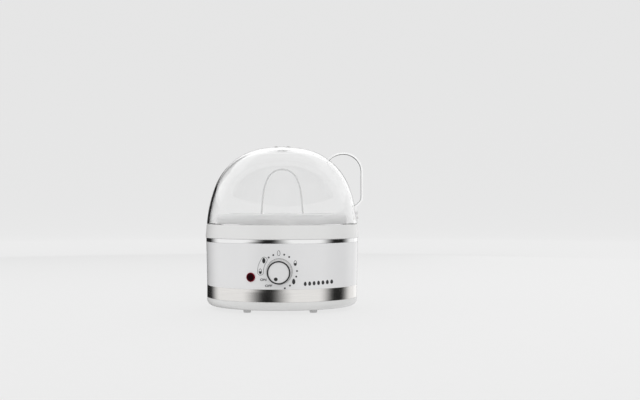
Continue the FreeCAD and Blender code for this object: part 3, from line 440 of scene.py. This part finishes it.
def dome_outline():
    """The section of the lid's wall: steep side, round shoulder, flat crown and raised steam vent."""
    radius, bottom, top = size_of("lid_dome")
    wall, ease, rim_ease = 2.4, 0.5, 0.45
    side_radius, shoulder_radius, crown_radius = 151.4, 67.4, 183.4
    side_lean, shoulder_lean = 70, 5.6
    vent, vent_rim, vent_proud = 6.5, 9.0, 0.6
    crown = top - vent_proud
    foot, foot_in = (radius, bottom + ease), (radius - wall, bottom + ease)
    side, shoulder = (74.7, bottom + 40.0), (18.0, crown - 0.9)
    side_in, shoulder_in = inset(side, side_lean, wall), inset(shoulder, shoulder_lean, wall)
    outer = [Vector(foot)] + arc(foot, side, side_radius, 28) + arc(side, shoulder, shoulder_radius, 44)
    outer += arc(shoulder, (vent_rim + 0.6, crown - 0.25), crown_radius, 6)
    outer += [Vector(p) for p in ((vent_rim, crown), (vent_rim - 0.2, crown + 0.45), (vent_rim - 0.7, top),
                                  (vent + 0.5, top), (vent + 0.1, top - 0.1), (vent, top - 0.4))]
    inner = [Vector(foot_in)] + arc(foot_in, side_in, side_radius - wall, 28)
    inner += arc(side_in, shoulder_in, shoulder_radius - wall, 44)
    inner += arc(shoulder_in, (vent + 0.4, crown - wall), crown_radius - wall, 6)
    inner += [Vector((vent, crown - wall + 0.3))]
    rim = [Vector((radius - wall + rim_ease, bottom)), Vector((radius - rim_ease, bottom))]
    return outer + inner[::-1] + rim


def make_dome():
    """The clear lid. It casts no shadow, so what stands under it is lit as under thin clear plastic."""
    dome = finish_piece(lathe("dome_moulding", dome_outline(), 320), "lid", "clear_lid", "lid_dome")
    dome.visible_shadow = False


def strap(name, middle, width, thick, ease=0.5):
    """A strap in the XZ plane that follows a middle line of (x, z) millimetres, with eased edges."""
    section = rounded([(-thick / 2, -width / 2, ease), (thick / 2, -width / 2, ease),
                       (thick / 2, width / 2, ease), (-thick / 2, width / 2, ease)], 3)
    points, faces = [], []
    for i, here in enumerate(middle):
        ahead = (middle[min(i + 1, len(middle) - 1)] - middle[max(i - 1, 0)]).normalized()
        side = Vector((ahead.y, -ahead.x))
        for out, across in section:
            points.append(Vector((here.x + side.x * out, across, here.y + side.y * out)) * MM)
    count = len(section)
    for i in range(len(middle) - 1):
        for k in range(count):
            a, b = i * count + k, i * count + (k + 1) % count
            faces.append((a, b, b + count, a + count))
    faces.append(tuple(range(count)))
    faces.append(tuple(range(len(points) - count, len(points))))
    return mesh_object(name, points, faces)


def make_arch():
    """The rack's carrying arch: straight legs, long side arcs and a round crown."""
    low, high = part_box("rack_handle")
    half, bottom = high.x / MM, low.z / MM
    thick, side_radius, crown_radius = 1.6, 60.0, 18.73
    leg, turn = Vector((22.07, 120.3)), Vector((17.11, 139.47))
    right = [Vector((half, bottom)), leg] + arc(leg, turn, side_radius, 14)
    crown = arc(turn, (-turn.x, turn.y), crown_radius, 36)
    left = [Vector((-p.x, p.y)) for p in right[::-1]]
    outer = right + crown + left[1:]
    middle = []
    for i, here in enumerate(outer):
        ahead = (outer[min(i + 1, len(outer) - 1)] - outer[max(i - 1, 0)]).normalized()
        middle.append(here + Vector((-ahead.y, ahead.x)) * thick / 2)
    middle[0].y = middle[-1].y = bottom
    made = strap("arch_strap", middle, (high.y - low.y) / MM, thick)
    finish_piece(made, "rack", "clear_handle", "rack_handle", paint=ARCH_PAINT)


def around(count, radius, first=0.0):
    """Places evenly round the axis, the first at an angle in degrees from +X."""
    turns = [math.radians(first + 360 / count * k) for k in range(count)]
    return [(radius * math.cos(turn), radius * math.sin(turn)) for turn in turns]


def upright(name, outline, steps, place):
    """A piece turned about an upright axis at a place (x, y) in millimetres."""
    return lathe(name, outline, steps, Matrix.Translation((place[0] * MM, place[1] * MM, 0)))


def make_rack():
    """The rack's tray with seven lipped cups and six steam holes."""
    radius, bottom, top = size_of("egg_rack")
    bead, thick, turn = 0.8, 2.0, 6.0
    cup_bore, cup_radius, cup_bottom, bore, steam_bore, reach = 16.0, 17.6, 94.3, 16.4, 2.5, 8
    deck = top - bead
    outline = rounded([
        (radius - thick, bottom, 0.5), (radius, bottom, 0.5), (radius, deck, turn), (0, deck),
        (0, deck - thick), (radius - thick, deck - thick, turn - thick)], 10)
    tray = outward(lathe("tray", outline, 192))
    cups, steam = [(0.0, 0.0)] + around(6, 46, 30), around(6, 60)
    low, high = deck - reach, deck + reach
    tools = [upright("hole", [(0, low), (bore, low), (bore, high), (0, high)], 64, place) for place in cups]
    tools += [upright("steam", [(0, low), (steam_bore, low), (steam_bore, high), (0, high)], 24, place)
              for place in steam]
    cut_with(tray, *tools)
    finish_piece(tray, "rack", "rack_plastic", "egg_rack")
    lip = rounded([(cup_bore, cup_bottom, 0.4), (cup_radius, cup_bottom, 0.4), (cup_radius, deck - 0.2),
                   (cup_radius, top, 0.7), (cup_bore, top, 0.7)], 5)
    for number, place in enumerate(cups):
        finish_piece(upright("cup_%d" % number, lip, 72, place), "rack", "rack_plastic")


def make_plate():
    """The heating plate: a shallow pan with pressed rings in its floor."""
    radius, bottom, top = size_of("heating_plate")
    floor, thick = 78.8, 1.2
    outer_ring, pitch, half, depth = 57.0, 6.0, 0.8, 0.25
    rings = []
    for number in range(9):
        place = outer_ring - pitch * number
        rings += [(place, floor), (place - half, floor - depth), (place - 2 * half, floor)]
    outline = rounded([(60.0, floor, 1.5), (66.5, top, 1.2), (radius, top, 0.4), (radius, top - thick, 0.3),
                       (67.6, top - thick, 1.0), (61.0, bottom, 1.5)], 5)
    outline += [Vector((0, bottom)), Vector((0, floor))] + [Vector(p) for p in rings[::-1]]
    finish_piece(lathe("plate_pressing", outline, 192), "housing", "plate_metal", "heating_plate")


def make_knob():
    """Bezel, knob ring and pointer dot, turned about axes that face the user."""
    place = facing_out(DIAL)
    inner, outer, face, seat, back = 8.5, BEZEL, 85.2, 82.2, 80.0
    bezel = rounded([(inner, back), (outer, seat), (outer, face, 0.6), (inner, face, 0.3)])
    finish_piece(lathe("bezel_turned", bezel, 128, place), "housing", "bezel_plastic", "dial_bezel")
    inner, outer, back, knob_face, front = 10.5, 12.0, 100.2, 102.2, 103.0
    ring = rounded([(inner, back), (outer, back), (outer, front, 0.6), (inner + 0.2, front, 0.2),
                    (inner, knob_face)])
    finish_piece(lathe("ring_turned", ring, 128, place), "dial", "knob_chrome", "knob_ring")
    low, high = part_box("knob_pointer")
    front, back = -low.y / MM, -high.y / MM
    face, stem, brim = front - 0.25, 1.45, 1.9
    dot = rounded([(0, back), (stem, back), (stem, face), (brim, face), (brim, face + 0.15, 0.1),
                   (0.6, front), (0, front)])
    aside = Matrix.Translation(((low.x + high.x) / 2, 0, (low.z + high.z) / 2 - DIAL * MM))
    finish_piece(lathe("pointer_turned", dot, 48, aside @ place), "dial", "pointer_black", "knob_pointer")


make_band()
make_trim()
make_dome()
make_arch()
make_rack()
make_plate()
make_knob()


# ---------------------------------------------------------------- print on the panel

PANEL_LOW = (83.0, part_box("steel_band")[1].z / MM)
PANEL_TOP = (84.0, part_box("upper_trim_ring")[0].z / MM)


def panel_point(x, height, proud):
    """The point of the panel's face in front of (x, height), a little proud of it, in millimetres."""
    share = (height - PANEL_LOW[1]) / (PANEL_TOP[1] - PANEL_LOW[1])
    radius = PANEL_LOW[0] + share * (PANEL_TOP[0] - PANEL_LOW[0]) + proud
    return Vector((x, -math.sqrt(radius ** 2 - x ** 2), height)) * MM


def print_shapes(name, shapes, paint, thick=0.04):
    """Flat shapes, each a list of loops seen from the front, laid on the panel as thin ink."""
    work = bmesh.new()
    for loops in shapes:
        flat = [[Vector((x, y, 0)) for x, y in loop] for loop in loops]
        triangles = tessellate_polygon(flat)
        points = [p for loop in flat for p in loop]
        front = [work.verts.new(panel_point(p.x, p.y, thick)) for p in points]
        back = [work.verts.new(panel_point(p.x, p.y, -0.02)) for p in points]
        for a, b, c in triangles:
            for face in ((front[a], front[b], front[c]), (back[c], back[b], back[a])):
                if len(set(face)) == 3:
                    work.faces.new(face)
        start = 0
        for loop in flat:
            count = len(loop)
            for i in range(count):
                a, b = start + i, start + (i + 1) % count
                work.faces.new((front[a], back[a], back[b], front[b]))
            start += count
    data = bpy.data.meshes.new(name)
    work.to_mesh(data)
    work.free()
    made = bpy.data.objects.new(name, data)
    bpy.context.scene.collection.objects.link(made)
    return finish_piece(made, "housing", "panel_plastic", paint=paint)


def on_dial(angle, radius):
    """The panel's (x, height) at an angle clockwise from the dial's top and a radius from its axis."""
    turn = math.radians(angle)
    return radius * math.sin(turn), DIAL + radius * math.cos(turn)


def disc(centre, radius, steps=20):
    """A round loop."""
    turns = [2 * math.pi * i / steps for i in range(steps)]
    return [(centre[0] + radius * math.sin(turn), centre[1] + radius * math.cos(turn)) for turn in turns]


def egg(centre, width, tall, grow=0.0, steps=28):
    """An egg standing upright: its narrow end up."""
    out = []
    for i in range(steps):
        turn = 2 * math.pi * i / steps
        lift = math.cos(turn)
        wide = (width / 2 + grow) * math.sin(turn) * (1 - 0.12 * lift)
        out.append((centre[0] + wide, centre[1] + (tall / 2 + grow) * lift))
    return out


def half_egg(centre, width, tall):
    """The lower half of an egg."""
    return [p for p in egg(centre, width, tall) if p[1] <= centre[1] + 0.1]


def local(centre, angle, out, along):
    """A point from a dial place, outwards from the dial and clockwise along its rim."""
    turn = math.radians(angle)
    return (centre[0] + out * math.sin(turn) + along * math.cos(turn),
            centre[1] + out * math.cos(turn) - along * math.sin(turn))


def capsule(from_angle, to_angle, radius, half):
    """A band that follows the dial's rim, with round ends."""
    out = []
    steps = 12
    for i in range(steps + 1):
        out.append(on_dial(from_angle + (to_angle - from_angle) * i / steps, radius + half))
    for i in range(1, steps):
        turn = math.pi * i / steps
        centre = on_dial(to_angle, radius)
        out.append(local(centre, to_angle, half * math.cos(turn), half * math.sin(turn)))
    for i in range(steps + 1):
        out.append(on_dial(to_angle + (from_angle - to_angle) * i / steps, radius - half))
    for i in range(1, steps):
        turn = math.pi * i / steps
        centre = on_dial(from_angle, radius)
        out.append(local(centre, from_angle, -half * math.cos(turn), -half * math.sin(turn)))
    return out


def egg_line(centre, width, tall, line):
    """The two loops of an egg drawn as a line."""
    return [egg(centre, width, tall), egg(centre, width, tall, -line)[::-1]]


def word_loops(word, cap, centre):
    """The triangles that fill a word in the plain built-in face, its capitals a set height."""
    curve = bpy.data.curves.new("word_" + word, "FONT")
    curve.body = word
    curve.align_x = "CENTER"
    curve.offset = 0.03
    made = bpy.data.objects.new("word_" + word, curve)
    bpy.context.scene.collection.objects.link(made)
    mesh = bpy.data.meshes.new_from_object(made.evaluated_get(bpy.context.evaluated_depsgraph_get()))
    tall = max(v.co.y for v in mesh.vertices) - min(v.co.y for v in mesh.vertices)
    middle = (max(v.co.y for v in mesh.vertices) + min(v.co.y for v in mesh.vertices)) / 2
    grow = cap / tall
    widen = grow * 1.3
    triangles = []
    for face in mesh.polygons:
        corners = [mesh.vertices[i].co for i in face.vertices]
        triangles.append([[(centre[0] + c.x * widen, centre[1] + (c.y - middle) * grow) for c in corners]])
    bpy.data.objects.remove(made)
    bpy.data.curves.remove(curve)
    bpy.data.meshes.remove(mesh)
    return triangles


EGG, LINE = (3.3, 5.8), 0.5
dots = [[disc(on_dial(angle, 18.2), 0.95)] for angle in (-37, -20, 16, 34, 88.5, 107, 143, 162)]
top_egg, right_egg, low_egg = on_dial(-2, 19.1), on_dial(62, 18.6), on_dial(125, 18.1)
left_full, left_half = on_dial(-55, 19.7), on_dial(-89.5, 19.8)
full_eggs = [[egg(place, *EGG)] for place in (low_egg, left_full)]
half_eggs = [[half_egg(place, *EGG)] for place in (right_egg, left_half)]
print_shapes("dial_marks", dots + full_eggs + half_eggs, PRINT)
outlines_and_shade = [egg_line(place, *EGG, LINE) for place in (top_egg, right_egg, left_half)]
pair_from, pair_to, pair_radius, pair_half = -92.4, -52.7, 19.6, 3.3
outlines_and_shade.append([capsule(pair_from, pair_to, pair_radius, pair_half),
              capsule(pair_from, pair_to, pair_radius, pair_half - LINE * 0.8)[::-1]])
# The ring just outside the bezel is painted shade, not print: a thin grey line that stands for the shadow in
# the gap round the bezel's edge.
outlines_and_shade.append([disc(on_dial(0, 0), BEZEL + 0.3, 96), disc(on_dial(0, 0), BEZEL, 96)[::-1]])
print_shapes("dial_outlines_and_bezel_shade", outlines_and_shade, GREY_INK_AND_SHADE)
words = word_loops("ON", 2.5, on_dial(-117, 18.7)) + word_loops("OFF", 2.5, on_dial(-143, 18.5))
print_shapes("dial_words", words, PRINT)
mark_x, mark_z, pitch, climb = 40.5, 28.9, 4.6, 0.2
row = [[egg((mark_x + pitch * step, mark_z + climb * step), 2.9, 4.4)] for step in range(-3, 4)]
print_shapes("seven_egg_mark", row, PRINT)


# ---------------------------------------------------------------- stage, lights and camera

def make_floor():
    """A pale round studio floor that curves up into a low wall all round, far from the object."""
    flat, bend, wall, thick = 2300.0, 800.0, 1500.0, 60.0
    below = FLOOR / MM
    profile = [(0.0, below), (flat * 0.25, below), (flat, below)]
    for step in range(1, 17):
        turn = math.radians(90) * step / 16
        profile.append((flat + bend * math.sin(turn), below + bend * (1 - math.cos(turn))))
    reach = flat + bend
    profile += [(reach, wall), (reach + thick, wall), (reach + thick, below - thick), (0.0, below - thick)]
    floor = outward(lathe("studio_floor", profile, 96))
    floor.data.shade_smooth()
    floor.data.set_sharp_from_angle(angle=SHARP)
    paint = plastic("StudioPaper", (0.08, 0.08, 0.08), 0.9, 0.04, 0.002, 60.0, 0.0,
                    Emission_Color=(1, 1, 1, 1), Emission_Strength=0.70)
    floor.data.materials.append(paint)
    floor.visible_glossy = False


def area_light(name, place, aim, width, height, power):
    """A soft box that lights the object but shows neither in it nor to the camera."""
    light = bpy.data.lights.new(name, "AREA")
    light.shape = "RECTANGLE"
    light.size, light.size_y = width, height
    light.energy = power
    made = bpy.data.objects.new(name, light)
    made.location = place
    made.rotation_euler = (Vector(aim) - Vector(place)).to_track_quat("-Z", "Y").to_euler()
    made.visible_camera = False
    made.visible_glossy = False
    made.visible_transmission = False
    bpy.context.scene.collection.objects.link(made)


def make_card(name, low, high, level, soft, bottom=-1.6, top=0.36, distance=1.3, reflected=True,
              seen_through=True, one_wall=False):
    """A card bent round the object between two azimuths, whose ends fade over twice the soft angle.
    Neither the camera nor the floor sees it: it shows only in reflections and through clear plastic.
    With one_wall it darkens only rays bent along a single clear wall, not the view through the lid."""
    steps = 24
    points = []
    for step in range(steps + 1):
        turn = math.radians(low - soft + (high - low + 2 * soft) * step / steps)
        x, y = distance * math.sin(turn), -distance * math.cos(turn)
        points += [(x, y, bottom), (x, y, top)]
    faces = [(2 * i, 2 * i + 1, 2 * i + 3, 2 * i + 2) for i in range(steps)]
    card = mesh_object(name, points, faces, True)
    across = card.data.uv_layers.new(name="across")
    for loop in card.data.loops:
        across.data[loop.index].uv = (loop.vertex_index // 2 / steps, loop.vertex_index % 2)
    made = bpy.data.materials.new(name + "Cloth")
    made.use_nodes = True
    nodes, links = made.node_tree.nodes, made.node_tree.links
    nodes.clear()
    where = nodes.new("ShaderNodeTexCoord")
    apart = nodes.new("ShaderNodeSeparateXYZ")
    shade = nodes.new("ShaderNodeValToRGB")
    edge = 2 * soft / (high - low + 2 * soft)
    bar = shade.color_ramp.elements
    bar[0].position, bar[0].color = 0.0, (0, 0, 0, 1)
    bar[1].position, bar[1].color = 1.0, (0, 0, 0, 1)
    for position in (edge, 1 - edge):
        bar.new(position).color = (1, 1, 1, 1)
    shade.color_ramp.interpolation = "EASE"
    dark = nodes.new("ShaderNodeEmission")
    dark.inputs["Color"].default_value = (level, level, level, 1)
    thin = nodes.new("ShaderNodeBsdfTransparent")
    mix = nodes.new("ShaderNodeMixShader")
    out = nodes.new("ShaderNodeOutputMaterial")
    links.new(where.outputs["UV"], apart.inputs["Vector"])
    links.new(apart.outputs["X"], shade.inputs["Fac"])
    links.new(shade.outputs["Color"], mix.inputs["Fac"])
    if one_wall:
        path = nodes.new("ShaderNodeLightPath")
        few = nodes.new("ShaderNodeMath")
        few.operation = "LESS_THAN"
        few.inputs[1].default_value = 3.0
        both = nodes.new("ShaderNodeMath")
        both.operation = "MULTIPLY"
        links.new(path.outputs["Transmission Depth"], few.inputs[0])
        links.new(shade.outputs["Color"], both.inputs[0])
        links.new(few.outputs["Value"], both.inputs[1])
        links.new(both.outputs["Value"], mix.inputs["Fac"])
    links.new(thin.outputs["BSDF"], mix.inputs[1])
    links.new(dark.outputs["Emission"], mix.inputs[2])
    links.new(mix.outputs["Shader"], out.inputs["Surface"])
    card.data.materials.append(made)
    card.visible_camera = False
    card.visible_diffuse = False
    card.visible_shadow = False
    card.visible_glossy = reflected
    card.visible_transmission = seen_through


DARK = 0.02
make_floor()
make_card("flag_front_low", -42, 2, DARK, 18, top=0.0, seen_through=False)
make_card("flag_front_high", -36, 1, DARK, 15, bottom=0.0, seen_through=False)
make_card("flag_right", 71, 113, DARK, 14, seen_through=False)
make_card("flag_left", -205, -119, DARK, 15, seen_through=False)
make_card("flag_edge", -163, -136, DARK, 4, 0.05, 0.75, 1.2, reflected=False, one_wall=True)
make_card("glow_right", 138, 166, 1.1, 6, top=1.2, distance=1.25)
make_card("glow_behind", 110, 250, 1.15, 10, bottom=0.42, top=1.6)
world = bpy.data.worlds.new("Studio")
world.use_nodes = True
world.node_tree.nodes["Background"].inputs["Color"].default_value = (1, 1, 1, 1)
world.node_tree.nodes["Background"].inputs["Strength"].default_value = 0.93
bpy.context.scene.world = world
LIT = (0, 0, 0.08)
area_light("key_box", (0.0, -1.7, 0.8), LIT, 1.6, 1.4, 3.75)
area_light("fill_left", (-1.6, -0.5, 0.9), LIT, 1.0, 1.0, 3.0)
area_light("fill_right", (1.6, -0.2, 0.9), LIT, 1.0, 1.0, 2.7)

camera = bpy.data.objects.new("camera", bpy.data.cameras.new("camera"))
camera.data.sensor_width = 36.0
camera.data.lens = 58.1
camera.location = (0.042, -1.150, 0.1093)
camera.rotation_euler = (math.radians(90), 0, 0)
camera.data.shift_y = 0.009
bpy.context.scene.collection.objects.link(camera)
bpy.context.scene.camera = camera
bpy.context.scene.view_settings.view_transform = "Standard"
